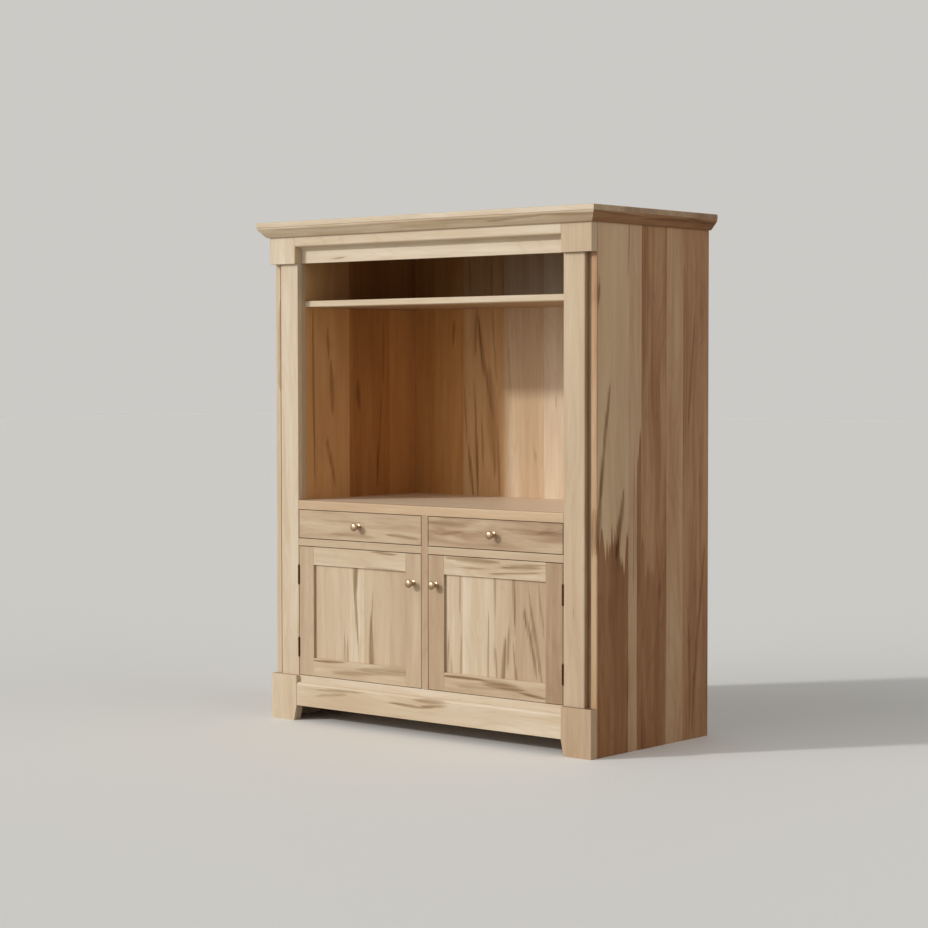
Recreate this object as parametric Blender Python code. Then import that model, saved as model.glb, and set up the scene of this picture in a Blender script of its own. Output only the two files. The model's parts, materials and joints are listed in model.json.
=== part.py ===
"""Entertainment centre in spalted maple: an open television bay over two drawers and two doors."""
from math import acos, cos, pi, sin, tan

import bmesh
import bpy
from mathutils import Vector

for old_object in list(bpy.data.objects):
    bpy.data.objects.remove(old_object, do_unlink=True)

# Overall
case_width = 1.260              # over the outer faces of the side panels
case_height = 1.550             # floor to the top of the top board
side_depth = 0.549              # front edge to rear edge of a side panel
seat_gap = 0.0003               # left between two pieces that touch
cut_overrun = 0.004             # how far a cutter passes the face it enters
ease_radius = 0.0012            # sanded edge of a show piece
ease_steps = 2
arc_steps = 6
coplanar_angle = pi / 1000      # faces that turn less than this are one flat face

# Case panels
side_thickness = 0.0195
liner_thickness = 0.019         # inner walls, flush with the pilasters
back_thickness = 0.012
back_rabbet = 0.010             # width of the rabbet that takes the back panel
dado_depth = 0.006
tongue_shoulder = 0.003         # top of the deck's and the upper shelf's tongues below the board
floor_thickness = 0.019
partition_thickness = 0.025
dust_panel_thickness = 0.019

# Face frame and pilasters
jamb_width = 0.108              # outer face of the case to the edge of the opening
frame_setback = 0.004           # frame stile behind the side panel's front edge
frame_thickness = 0.019
pilaster_inset = 0.031          # outer face of the case to the pilaster's outer edge
pilaster_projection = 0.013     # ahead of the side panel's front edge
pilaster_outer_radius = 0.008
pilaster_inner_radius = 0.002

# Corner and plinth blocks, frieze
block_projection = 0.0252
corner_block_height = 0.0825    # below the crown moulding
plinth_block_height = 0.141
foot_taper = 0.011              # how far the foot's inner edge slants in
frieze_drop = 0.0315            # flat face below the crown moulding
frieze_nose = 0.006             # round-over under the flat face
frieze_cove = 0.011             # hollow between the nose and the fascia
frieze_fillet = 0.001           # upright under the hollow
frieze_ledge = 0.002            # its lower edge ahead of the fascia
fascia_drop = 0.081             # below the crown moulding

# Crown
top_board_thickness = 0.016
top_board_round = 0.003         # upper edge
crown_projection = 0.0305       # top board beyond the corner blocks and sides
crown_height = 0.0305
crown_quirk = 0.0015            # top board's step beyond the moulding
crown_lip = 0.0045              # upright at the moulding's upper edge
crown_shoulder_round = 0.008    # where the upright turns into the slope
crown_foot = 0.0075             # how far the moulding's foot stands out
crown_foot_round = 0.007

# Lower front, in one plane between the pilasters
face_projection = 0.0125        # ahead of the side panel's front edge
face_thickness = 0.0195
toe_height = 0.0475             # clear height under the base rail
sill_top = 0.142
base_rail_drop = 0.021          # top of the base rail below the sill's
base_rail_projection = 0.024
base_rail_round_share = 0.85    # round-over as a share of the rail's thickness
mid_rail_height = 0.0225
centre_stile_width = 0.025
deck_thickness = 0.028
deck_round = 0.004
reveal = 0.002                  # gap round doors and drawer fronts

# Shelves
shelf_thickness = 0.019
upper_shelf_drop = 0.197        # top of the upper shelf below the crown moulding
upper_shelf_setback = 0.0185    # behind the side panel's front edge
upper_shelf_round = 0.003
cupboard_shelf_height = 0.193   # above the cabinet floor
cupboard_shelf_setback = 0.040

# Doors
door_height = 0.4005
door_stile_width = 0.061
door_rail_width = 0.055
door_panel_thickness = 0.0065
door_panel_recess = 0.008
door_groove_depth = 0.010
knob_drop = 0.0885              # door knob and upper hinge below the door's top

# Butt hinges
hinge_length = 0.058
hinge_leaf_depth = 0.016
hinge_leaf_thickness = 0.0008
hinge_leaf_gap = 0.0003
knuckle_radius = 0.003
knuckle_clearance = 0.0004
pin_radius = 0.0011
pin_clearance = 0.0003
pin_proud = 0.001               # pin axis ahead of the door's face
pin_tip = 0.0022                # height of the button on each end of the pin
lower_hinge_rise = 0.086        # middle of the lower hinge above the door's foot
knuckle_count = 5
knuckle_steps = 16

# Double magnetic catch
catch_width = 0.064
catch_height = 0.016
catch_depth = 0.018

# Drawers
drawer_height = 0.087
drawer_side_clearance = 0.0015
drawer_top_clearance = 0.0127   # drawer box below the deck
drawer_rear_clearance = 0.0744  # drawer box ahead of the back panel
drawer_side_thickness = 0.012
drawer_bottom_thickness = 0.006
drawer_bottom_rise = 0.010
drawer_groove_depth = 0.006

# Knobs
knob_length = 0.027
knob_head_radius = 0.0125
knob_head_depth = 0.011
knob_rose_radius = 0.009
knob_rose_depth = 0.0025
knob_neck_radius = 0.0045
knob_steps = 28

# Levels, from the floor up
door_bottom = sill_top + reveal
door_top = door_bottom + door_height
mid_rail_bottom = door_top + reveal
mid_rail_top = mid_rail_bottom + mid_rail_height
drawer_bottom = mid_rail_top + reveal
drawer_top = drawer_bottom + drawer_height
deck_bottom = drawer_top + reveal
deck_top = deck_bottom + deck_thickness
top_board_bottom = case_height - top_board_thickness
crown_bottom = top_board_bottom - crown_height
upper_shelf_top = crown_bottom - upper_shelf_drop
upper_shelf_bottom = upper_shelf_top - shelf_thickness
case_board_top = top_board_bottom - seat_gap
floor_bottom = sill_top - floor_thickness
cupboard_shelf_bottom = sill_top + cupboard_shelf_height

# Planes from front to back; the box of the whole piece is centred on the origin
case_front = (block_projection + crown_projection - side_depth) / 2
case_rear = case_front + side_depth
block_front = case_front - block_projection
pilaster_front = case_front - pilaster_projection
base_rail_front = case_front - base_rail_projection
face_front = case_front - face_projection
face_back = face_front + face_thickness
frame_front = case_front + frame_setback
frame_back = frame_front + frame_thickness
back_front = case_rear - back_thickness
liner_front = frame_back + seat_gap
liner_rear = back_front - seat_gap

# Distances from the middle plane
half_width = case_width / 2
side_inner = half_width - side_thickness
opening_half = half_width - jamb_width
liner_outer = opening_half + liner_thickness
dado_end = opening_half + dado_depth - seat_gap
front_span = opening_half - seat_gap
centre_half = centre_stile_width / 2
partition_half = partition_thickness / 2
hinge_reveal = hinge_leaf_thickness * 2 + hinge_leaf_gap + seat_gap * 2
door_outer = opening_half - hinge_reveal
door_inner = centre_half + reveal
pin_x = opening_half - hinge_reveal / 2
pin_y = face_front - pin_proud
hinge_heights = (door_bottom + lower_hinge_rise, door_top - knob_drop)
door_groove_front = face_front + door_panel_recess - seat_gap
door_groove_back = door_groove_front + door_panel_thickness + seat_gap * 2

sides = (("left", -1), ("right", 1))
wood_pale = (0.66, 0.50, 0.34)
wood_tan = (0.52, 0.36, 0.23)
wood_brown = (0.30, 0.18, 0.10)
wood_sanded = (0.60, 0.47, 0.33)
brass = (0.72, 0.53, 0.24)
bronze = (0.10, 0.065, 0.040)
catch_grey = (0.42, 0.42, 0.42)


def surface(name, colour, roughness, metallic):
    """The finish of one piece."""
    made = bpy.data.materials.new(name + "_finish")
    made.use_nodes = True
    shader = made.node_tree.nodes["Principled BSDF"]
    shader.inputs["Base Color"].default_value = (*colour, 1)
    shader.inputs["Roughness"].default_value = roughness
    shader.inputs["Metallic"].default_value = metallic
    made.diffuse_color = (*colour, 1)
    return made


def piece(name, shape, colour, carrier=None, roughness=0.5, metallic=0):
    """One named piece, with its origin at its middle, hung on its carrier if it moves."""
    bmesh.ops.recalc_face_normals(shape, faces=shape.faces)
    spots = [vert.co for vert in shape.verts]
    low = Vector([min(spot[axis] for spot in spots) for axis in range(3)])
    high = Vector([max(spot[axis] for spot in spots) for axis in range(3)])
    middle = (low + high) / 2
    bmesh.ops.translate(shape, verts=shape.verts, vec=-middle)
    mesh = bpy.data.meshes.new(name)
    shape.to_mesh(mesh)
    shape.free()
    made = bpy.data.objects.new(name, mesh)
    bpy.context.collection.objects.link(made)
    made.data.materials.append(surface(name, colour, roughness, metallic))
    made.location = middle
    if carrier:
        made.parent = carrier
        made.location = middle - carrier.location
    return made


def cutter(name, shape):
    """A guide solid that only cuts or joins."""
    made = piece(name, shape, wood_pale)
    made.hide_render = True
    made.display_type = "WIRE"
    return made


def combine(target, name, shape, operation="DIFFERENCE"):
    """Cut a guide solid out of the target, or join it on."""
    step = target.modifiers.new(name, "BOOLEAN")
    step.operation = operation
    step.object = cutter(name, shape)


def axle(name, spot):
    """An empty on a joint's axis or a drawer's middle, which carries a moving body."""
    made = bpy.data.objects.new(name, None)
    made.location = spot
    bpy.context.collection.objects.link(made)
    return made


def prism(outline, axis, start, end):
    """An outline pushed along an axis: (y, z) along X, (x, z) along Y, (x, y) along Z."""
    shape = bmesh.new()
    rings = []
    for level in (start, end):
        spots = []
        for first, second in outline:
            spot = [first, second]
            spot.insert("XYZ".index(axis), level)
            spots.append(shape.verts.new(spot))
        rings.append(spots)
    shape.faces.new(rings[0])
    shape.faces.new(reversed(rings[1]))
    for index, near in enumerate(rings[0]):
        following = (index + 1) % len(outline)
        shape.faces.new((near, rings[1][index], rings[1][following], rings[0][following]))
    bmesh.ops.recalc_face_normals(shape, faces=shape.faces)
    return shape


def block(low, high):
    """A plain board between two corners given in any order."""
    (x0, x1), (y0, y1), (z0, z1) = [sorted(pair) for pair in zip(low, high)]
    return prism([(x0, y0), (x1, y0), (x1, y1), (x0, y1)], "Z", z0, z1)


def rounded(corners, steps=arc_steps):
    """An outline from (u, v, radius) corners, with an arc wherever the radius isn't zero."""
    outline = []
    count = len(corners)
    for index, (u, v, radius) in enumerate(corners):
        here = Vector((u, v))
        if not radius:
            outline.append(tuple(here))
            continue
        before = (Vector(corners[index - 1][:2]) - here).normalized()
        after = (Vector(corners[(index + 1) % count][:2]) - here).normalized()
        half_angle = acos(max(-1, min(1, before.dot(after)))) / 2
        centre = here + (before + after).normalized() * (radius / sin(half_angle))
        start = here + before * (radius / tan(half_angle)) - centre
        turn = start.angle_signed(here + after * (radius / tan(half_angle)) - centre)
        for step in range(steps + 1):
            angle = -turn * step / steps
            outline.append((
                centre.x + start.x * cos(angle) - start.y * sin(angle),
                centre.y + start.x * sin(angle) + start.y * cos(angle),
            ))
    return outline


def ease(shape, direction, radius=ease_radius):
    """Round the edges of every face that looks one way."""
    shape.normal_update()
    looking = [face for face in shape.faces if face.normal.dot(Vector(direction)) > 0.99]
    edges = list({edge for face in looking for edge in face.edges})
    bmesh.ops.bevel(
        shape, geom=edges, offset=radius, offset_type="OFFSET", segments=ease_steps,
        profile=0.5, affect="EDGES", clamp_overlap=True,
    )
    return shape


def round_front_edge(shape, y, z, radius):
    """Round the edge that runs along X through one (y, z)."""
    edges = [
        edge for edge in shape.edges
        if all(abs(vert.co.y - y) + abs(vert.co.z - z) < seat_gap for vert in edge.verts)
    ]
    bmesh.ops.bevel(
        shape, geom=edges, offset=radius, offset_type="OFFSET", segments=arc_steps,
        profile=0.5, affect="EDGES", clamp_overlap=True,
    )


def turned(profile, centre, steps):
    """A solid turned about the Y axis from (distance in front, radius) points."""
    shape = bmesh.new()
    rings = []
    for reach, radius in profile:
        if radius == 0:
            rings.append([shape.verts.new((centre[0], centre[1] - reach, centre[2]))])
            continue
        ring = []
        for step in range(steps):
            angle = 2 * pi * step / steps
            spot = (
                centre[0] + radius * cos(angle),
                centre[1] - reach,
                centre[2] + radius * sin(angle),
            )
            ring.append(shape.verts.new(spot))
        rings.append(ring)
    for near, far in zip(rings, rings[1:]):
        for step in range(steps):
            following = (step + 1) % steps
            corners = [near[step % len(near)], near[following % len(near)]]
            corners += [far[following % len(far)], far[step % len(far)]]
            shape.faces.new(list(dict.fromkeys(corners)))
    bmesh.ops.recalc_face_normals(shape, faces=shape.faces)
    return shape


def round_rod(x, y, z0, z1, radius, steps=knuckle_steps):
    """An upright round rod."""
    angles = [2 * pi * step / steps for step in range(steps)]
    outline = [(x + radius * cos(angle), y + radius * sin(angle)) for angle in angles]
    return prism(outline, "Z", z0, z1)


def mirrored(outline, sign):
    """An outline for the right-hand side, taken to the side that the sign names."""
    return [(sign * first, second) for first, second in outline]


def side_panels():
    """Straight panels down to the floor, rabbeted at the rear for the back."""
    rabbet_front = back_front - seat_gap
    for side, sign in sides:
        outline = rounded([
            (side_inner, case_front, ease_radius),
            (half_width, case_front, ease_radius),
            (half_width, case_rear, ease_radius),
            (side_inner + back_rabbet, case_rear, 0),
            (side_inner + back_rabbet, rabbet_front, 0),
            (side_inner, rabbet_front, 0),
        ], ease_steps)
        shape = prism(mirrored(outline, sign), "Z", 0, case_board_top)
        piece(side + "_side_panel", shape, wood_brown)


def dado_wall(face, outer, bottom, top, grooves):
    """Half the (x, z) outline of an upright board with a groove in its inner face for each board."""
    outline = [(face, bottom)]
    for low, high in grooves:
        outline += [
            (face, low - seat_gap),
            (face + outer, low - seat_gap),
            (face + outer, high + seat_gap),
            (face, high + seat_gap),
        ]
    return outline + [(face, top)]


def lower_grooves():
    """The boards that seat in grooves at both sides of a cupboard."""
    return [
        (cupboard_shelf_bottom, cupboard_shelf_bottom + shelf_thickness),
        (mid_rail_top - dust_panel_thickness, mid_rail_top),
    ]


def inner_walls():
    """Walls flush with the pilasters, grooved for the floor, shelves, dust panels and deck."""
    deck_tongue = (deck_bottom, deck_top - tongue_shoulder)
    shelf_tongue = (upper_shelf_bottom, upper_shelf_top - tongue_shoulder)
    grooves = [(floor_bottom, sill_top), *lower_grooves(), deck_tongue, shelf_tongue]
    for side, sign in sides:
        outline = dado_wall(opening_half, dado_depth, toe_height, case_board_top, grooves)
        outline += [(liner_outer, case_board_top), (liner_outer, toe_height)]
        shape = prism(mirrored(outline, sign), "Y", liner_front, liner_rear)
        piece(side + "_inner_wall", shape, wood_tan)


def frame_stiles():
    """Frame members behind the pilasters, up to the top board."""
    for side, sign in sides:
        shape = block(
            (sign * opening_half, frame_front, toe_height),
            (sign * (side_inner - seat_gap), frame_back, case_board_top),
        )
        piece(side + "_frame_stile", shape, wood_tan)


def hinge_recess(sign, height):
    """The round recess that clears a hinge's barrel and its tips."""
    reach = hinge_length / 2 + pin_tip + knuckle_clearance
    radius = knuckle_radius + knuckle_clearance
    return round_rod(sign * pin_x, pin_y, height - reach, height + reach, radius)


def pilasters():
    """Applied pilasters with rounded front edges, recessed for the hinge barrels."""
    back = frame_front - seat_gap
    outer = half_width - pilaster_inset
    for side, sign in sides:
        outline = rounded([
            (opening_half, pilaster_front, pilaster_inner_radius),
            (outer, pilaster_front, pilaster_outer_radius),
            (outer, back, 0),
            (opening_half, back, 0),
        ])
        bottom = plinth_block_height + seat_gap
        top = crown_bottom - corner_block_height - seat_gap
        shape = prism(mirrored(outline, sign), "Z", bottom, top)
        made = piece(side + "_pilaster", shape, wood_pale)
        for index, height in enumerate(hinge_heights):
            combine(made, f"{side}_pilaster_recess_{index}", hinge_recess(sign, height))


def jamb_block_outline():
    """Plan of a corner or plinth block, which laps the side panel's front edge."""
    back = frame_front - seat_gap
    lap = side_inner - seat_gap
    return rounded([
        (opening_half, block_front, ease_radius),
        (half_width, block_front, ease_radius),
        (half_width, case_front - seat_gap, 0),
        (lap, case_front - seat_gap, 0),
        (lap, back, 0),
        (opening_half, back, 0),
    ], ease_steps)


def corner_blocks():
    """Square blocks over the pilasters, running up behind the crown moulding."""
    bottom = crown_bottom - corner_block_height
    for side, sign in sides:
        shape = prism(mirrored(jamb_block_outline(), sign), "Z", bottom, case_board_top)
        piece(side + "_corner_block", shape, wood_pale)


def plinth_blocks():
    """Feet under the pilasters, with the inner edge slanted below the base rail."""
    for side, sign in sides:
        outline = mirrored(jamb_block_outline(), sign)
        shape = prism(outline, "Z", 0, plinth_block_height)
        ease(shape, (0, 0, 1))
        made = piece(side + "_plinth_block", shape, wood_pale)
        inner = opening_half - cut_overrun
        wedge = prism([
            (sign * inner, -cut_overrun),
            (sign * (opening_half + foot_taper), -cut_overrun),
            (sign * (opening_half + foot_taper), 0),
            (sign * opening_half, toe_height),
            (sign * inner, toe_height),
        ], "Y", block_front - cut_overrun, frame_front + cut_overrun)
        combine(made, side + "_foot_slant", wedge)


def frieze():
    """Board between the corner blocks, with a nose and a hollow below, and the fascia behind it."""
    edge = crown_bottom - frieze_drop
    foot = edge - frieze_cove - frieze_fillet
    back = frame_front - seat_gap
    outline = rounded([
        (block_front, case_board_top, 0),
        (block_front, edge, frieze_nose),
        (back - frieze_ledge, edge, frieze_cove),
        (back - frieze_ledge, foot, 0),
        (back, foot, 0),
        (back, case_board_top, 0),
    ])
    piece("frieze_board", prism(outline, "X", -front_span, front_span), wood_pale)
    shape = block(
        (-front_span, frame_front, crown_bottom - fascia_drop),
        (front_span, frame_back, case_board_top),
    )
    piece("top_rail", shape, wood_pale)


def crown_profile():
    """Section of the crown moulding: (reach from the case, height), a slope with eased ends."""
    lip = crown_projection - crown_quirk
    top = top_board_bottom - seat_gap
    return rounded([
        (seat_gap, crown_bottom, 0),
        (seat_gap, top, 0),
        (lip, top, 0),
        (lip, top - crown_lip, crown_shoulder_round),
        (crown_foot, crown_bottom, crown_foot_round),
    ])


def mitred_run(profile, near, far):
    """A moulding between two end sections, each a function from (reach, height) to a point."""
    shape = bmesh.new()
    rings = [[shape.verts.new(end(*point)) for point in profile] for end in (near, far)]
    shape.faces.new(rings[0])
    shape.faces.new(reversed(rings[1]))
    for index, corner in enumerate(rings[0]):
        following = (index + 1) % len(profile)
        shape.faces.new((corner, rings[1][index], rings[1][following], rings[0][following]))
    return shape


def crown():
    """Three mitred lengths of crown moulding under an overhanging top board."""
    profile = crown_profile()
    mitre = seat_gap / 2

    def front_left(reach, height):
        return (-half_width - reach + mitre, block_front - reach, height)

    def front_right(reach, height):
        return (half_width + reach - mitre, block_front - reach, height)

    piece("front_crown_moulding", mitred_run(profile, front_left, front_right), wood_tan)
    for side, sign in sides:
        def side_front(reach, height, sign=sign):
            return (sign * (half_width + reach), block_front - reach + mitre, height)

        def side_rear(reach, height, sign=sign):
            return (sign * (half_width + reach), case_rear, height)

        piece(side + "_crown_moulding", mitred_run(profile, side_front, side_rear), wood_brown)

    reach = half_width + crown_projection
    shape = block(
        (-reach, block_front - crown_projection, top_board_bottom),
        (reach, case_rear, case_height),
    )
    ease(shape, (0, 0, 1), top_board_round)
    ease(shape, (0, 0, -1))
    piece("top_board", shape, wood_pale)


def tongued_board(front, rear, bottom, top):
    """A full-width board seated in the wall grooves, narrower where it passes the frame stiles."""
    return prism([
        (-front_span, front),
        (front_span, front),
        (front_span, liner_front),
        (dado_end, liner_front),
        (dado_end, rear),
        (-dado_end, rear),
        (-dado_end, liner_front),
        (-front_span, liner_front),
    ], "Z", bottom, top)


def add_shoulders(shape):
    """Raise the middle of a board above its tongues, so that its top ends at the walls."""
    for sign in (-1, 1):
        bmesh.ops.bisect_plane(
            shape, geom=shape.verts[:] + shape.edges[:] + shape.faces[:], dist=seat_gap / 2,
            plane_co=(sign * front_span, 0, 0), plane_no=(1, 0, 0),
        )
    shape.normal_update()
    middle = [
        face for face in shape.faces
        if face.normal.z > 0.99 and abs(face.calc_center_median().x) < front_span / 2
    ]
    raised = bmesh.ops.extrude_face_region(shape, geom=middle)["geom"]
    corners = [part for part in raised if isinstance(part, bmesh.types.BMVert)]
    bmesh.ops.translate(shape, verts=corners, vec=(0, 0, tongue_shoulder))
    bmesh.ops.delete(shape, geom=middle, context="FACES_ONLY")
    bmesh.ops.dissolve_limit(
        shape, angle_limit=coplanar_angle, verts=shape.verts[:], edges=shape.edges[:],
    )


def deck_and_floor():
    """The television deck, whose front edge is the top of the lower front, and the floor."""
    shape = tongued_board(face_front, liner_rear, deck_bottom, deck_top - tongue_shoulder)
    add_shoulders(shape)
    round_front_edge(shape, face_front, deck_top, deck_round)
    piece("tv_deck", shape, wood_pale)
    shape = tongued_board(face_back + seat_gap, liner_rear, floor_bottom, sill_top)
    piece("cabinet_floor", shape, wood_tan)


def upper_shelf():
    """Shelf over the television bay, between the frame stiles at its front."""
    front = case_front + upper_shelf_setback
    shape = tongued_board(
        front, liner_rear, upper_shelf_bottom, upper_shelf_top - tongue_shoulder,
    )
    add_shoulders(shape)
    for height in (upper_shelf_bottom, upper_shelf_top):
        round_front_edge(shape, front, height, upper_shelf_round)
    piece("upper_shelf", shape, wood_pale)


def centre_partition():
    """Upright board between the cupboards, grooved both sides and notched for the catch."""
    bottom = sill_top + seat_gap
    top = deck_bottom - seat_gap
    half = dado_wall(partition_half, -dado_depth, bottom, top, lower_grooves())
    outline = half + [(-x, z) for x, z in reversed(half)]
    shape = prism(outline, "Y", face_back + seat_gap, liner_rear)
    made = piece("centre_partition", shape, wood_tan)
    notch = block(
        (-partition_half - cut_overrun, face_back - cut_overrun,
         catch_bottom() - seat_gap),
        (partition_half + cut_overrun, face_back + catch_depth + seat_gap * 2,
         catch_bottom() + catch_height + seat_gap),
    )
    combine(made, "catch_notch", notch)


def catch_bottom():
    """Underside of the catch, which hangs just below the dust panels."""
    return mid_rail_top - dust_panel_thickness - seat_gap - catch_height


def door_catch():
    """One double magnetic catch behind the centre stile, serving both doors."""
    back = face_back + seat_gap
    shape = block(
        (-catch_width / 2, back, catch_bottom()),
        (catch_width / 2, back + catch_depth, catch_bottom() + catch_height),
    )
    ease(shape, (0, -1, 0))
    piece("door_catch", shape, catch_grey, roughness=0.35, metallic=0.8)


def cupboard_boards():
    """A shelf and a dust panel in each lower bay."""
    inner = partition_half - dado_depth + seat_gap
    for side, sign in sides:
        shape = block(
            (sign * inner, case_front + cupboard_shelf_setback, cupboard_shelf_bottom),
            (sign * dado_end, liner_rear, cupboard_shelf_bottom + shelf_thickness),
        )
        piece(side + "_cupboard_shelf", shape, wood_tan)
        front = face_back + seat_gap
        outline = [
            (inner, front),
            (front_span, front),
            (front_span, liner_front),
            (dado_end, liner_front),
            (dado_end, liner_rear),
            (inner, liner_rear),
        ]
        bottom = mid_rail_top - dust_panel_thickness
        shape = prism(mirrored(outline, sign), "Z", bottom, mid_rail_top)
        piece(side + "_dust_panel", shape, wood_tan)


def back_panel():
    """One panel in the rabbets of the side panels, clear of the floor."""
    reach = side_inner + back_rabbet - seat_gap
    shape = block((-reach, back_front, toe_height), (reach, case_rear, case_board_top))
    piece("back_panel", shape, wood_tan)


def lower_frame():
    """Mid rail and centre stile, halved where they cross, with the sill rail and base rail."""
    lap = face_front + face_thickness / 2
    notch = centre_half + seat_gap
    outline = [
        (-front_span, face_front),
        (-notch, face_front),
        (-notch, lap),
        (notch, lap),
        (notch, face_front),
        (front_span, face_front),
        (front_span, face_back),
        (-front_span, face_back),
    ]
    piece("mid_rail", prism(outline, "Z", mid_rail_bottom, mid_rail_top), wood_pale)
    outline = [
        (face_front, sill_top + seat_gap),
        (face_back, sill_top + seat_gap),
        (face_back, mid_rail_bottom - seat_gap),
        (lap - seat_gap, mid_rail_bottom - seat_gap),
        (lap - seat_gap, mid_rail_top + seat_gap),
        (face_back, mid_rail_top + seat_gap),
        (face_back, deck_bottom - seat_gap),
        (face_front, deck_bottom - seat_gap),
    ]
    piece("centre_stile", prism(outline, "X", -centre_half, centre_half), wood_tan)
    shape = block((-front_span, face_front, toe_height), (front_span, face_back, sill_top))
    piece("sill_rail", shape, wood_pale)
    back = face_front - seat_gap
    top = sill_top - base_rail_drop
    outline = rounded([
        (base_rail_front, toe_height, ease_radius),
        (back, toe_height, 0),
        (back, top, 0),
        (base_rail_front, top, (back - base_rail_front) * base_rail_round_share),
    ])
    piece("base_rail", prism(outline, "X", -front_span, front_span), wood_pale)


def stile_outline(edge, inner, sign):
    """Plan of a door stile with the panel groove in its inner edge."""
    groove = inner + door_groove_depth * (1 if edge > inner else -1)
    corners = [
        (edge, face_front, ease_radius),
        (edge, face_back, 0),
        (inner, face_back, 0),
        (inner, door_groove_back, 0),
        (groove, door_groove_back, 0),
        (groove, door_groove_front, 0),
        (inner, door_groove_front, 0),
        (inner, face_front, 0),
    ]
    return mirrored(rounded(corners, ease_steps), sign)


def door_rail(side, sign, which, bottom, carrier):
    """A rail with stub tenons in the stiles' grooves and a groove for the panel."""
    left = door_inner + door_stile_width + seat_gap
    right = door_outer - door_stile_width - seat_gap
    tenon = door_groove_depth - seat_gap * 2
    front = door_groove_front + seat_gap
    back = door_groove_back - seat_gap
    outline = [
        (left, face_front),
        (right, face_front),
        (right, front),
        (right + tenon, front),
        (right + tenon, back),
        (right, back),
        (right, face_back),
        (left, face_back),
        (left, back),
        (left - tenon, back),
        (left - tenon, front),
        (left, front),
    ]
    top = bottom + door_rail_width
    shape = prism(mirrored(outline, sign), "Z", bottom, top)
    made = piece(f"{side}_door_{which}_rail", shape, wood_pale, carrier)
    if which == "top":
        low, high = bottom - cut_overrun, bottom + door_groove_depth
    else:
        low, high = top - door_groove_depth, top + cut_overrun
    groove = block(
        (sign * (left - tenon - cut_overrun), door_groove_front, low),
        (sign * (right + tenon + cut_overrun), door_groove_back, high),
    )
    combine(made, f"{side}_{which}_rail_groove", groove)


def doors():
    """Two frame-and-panel doors, each hung on an empty that lies on its hinge pins."""
    carriers = {}
    panel_inset = door_groove_depth - seat_gap * 2
    for side, sign in sides:
        carrier = axle(side + "_door_pins", (sign * pin_x, pin_y, (door_bottom + door_top) / 2))
        carriers[side] = carrier
        latch_inner = door_inner + door_stile_width
        shape = prism(stile_outline(door_inner, latch_inner, sign), "Z", door_bottom, door_top)
        piece(side + "_door_latch_stile", shape, wood_tan, carrier)
        hinge_inner = door_outer - door_stile_width
        shape = prism(stile_outline(door_outer, hinge_inner, sign), "Z", door_bottom, door_top)
        stile = piece(side + "_door_hinge_stile", shape, wood_tan, carrier)
        for index, height in enumerate(hinge_heights):
            combine(stile, f"{side}_stile_recess_{index}", hinge_recess(sign, height))
        door_rail(side, sign, "top", door_top - door_rail_width, carrier)
        door_rail(side, sign, "bottom", door_bottom, carrier)
        shape = block(
            (sign * (latch_inner - panel_inset), face_front + door_panel_recess,
             door_bottom + door_rail_width - panel_inset),
            (sign * (hinge_inner + panel_inset),
             face_front + door_panel_recess + door_panel_thickness,
             door_top - door_rail_width + panel_inset),
        )
        piece(side + "_door_panel", shape, wood_pale, carrier)
    return carriers


def leaf_plate(x, height, own, sign):
    """A hinge leaf cut like a comb, so that it clears the other leaf's knuckles."""
    pitch = hinge_length / knuckle_count
    bottom = height - hinge_length / 2
    root = pin_y + knuckle_radius + knuckle_clearance
    outline = [(pin_y + hinge_leaf_depth, bottom)]
    for index in range(knuckle_count):
        front = pin_y if index % 2 == own else root
        low = bottom + pitch * index
        high = low + pitch
        if index % 2 == own:
            low += seat_gap / 2 if index else 0
            high -= seat_gap / 2 if index < knuckle_count - 1 else 0
        else:
            low -= seat_gap / 2 if index else 0
            high += seat_gap / 2 if index < knuckle_count - 1 else 0
        outline += [(front, low), (front, high)]
    outline.append((pin_y + hinge_leaf_depth, bottom + hinge_length))
    reach = sorted((sign * x, sign * (x + hinge_leaf_thickness)))
    return prism(outline, "X", *reach)


def hinge_leaf(name, x, height, own, sign, colour, carrier):
    """A leaf with its own knuckles; the case leaf also holds the pin and its tips."""
    made = piece(name, leaf_plate(x, height, own, sign), colour, carrier, 0.4, 0.9)
    pitch = hinge_length / knuckle_count
    bottom = height - hinge_length / 2
    for index in range(own, knuckle_count, 2):
        low = bottom + pitch * index + (seat_gap / 2 if index else 0)
        high = bottom + pitch * (index + 1) - (seat_gap / 2 if index < knuckle_count - 1 else 0)
        rod = round_rod(sign * pin_x, pin_y, low, high, knuckle_radius)
        combine(made, f"{name}_knuckle_{index}", rod, "UNION")
    if own:
        reach = hinge_length / 2
        radius = pin_radius + pin_clearance
        bore = round_rod(sign * pin_x, pin_y, height - reach, height + reach, radius)
        combine(made, name + "_bore", bore)
        return
    reach = hinge_length / 2 + pin_tip
    pin = round_rod(sign * pin_x, pin_y, height - reach, height + reach, pin_radius)
    combine(made, name + "_pin", pin, "UNION")


def hinges(carriers):
    """Two butt hinges a door, in the gap between the pilaster and the door."""
    case_leaf = opening_half - seat_gap - hinge_leaf_thickness
    door_leaf = case_leaf - hinge_leaf_gap - hinge_leaf_thickness
    for side, sign in sides:
        for which, height in zip(("lower", "upper"), hinge_heights):
            name = f"{side}_{which}_hinge"
            hinge_leaf(name + "_case_leaf", case_leaf, height, 0, sign, bronze, None)
            hinge_leaf(name + "_door_leaf", door_leaf, height, 1, sign, bronze, carriers[side])


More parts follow.
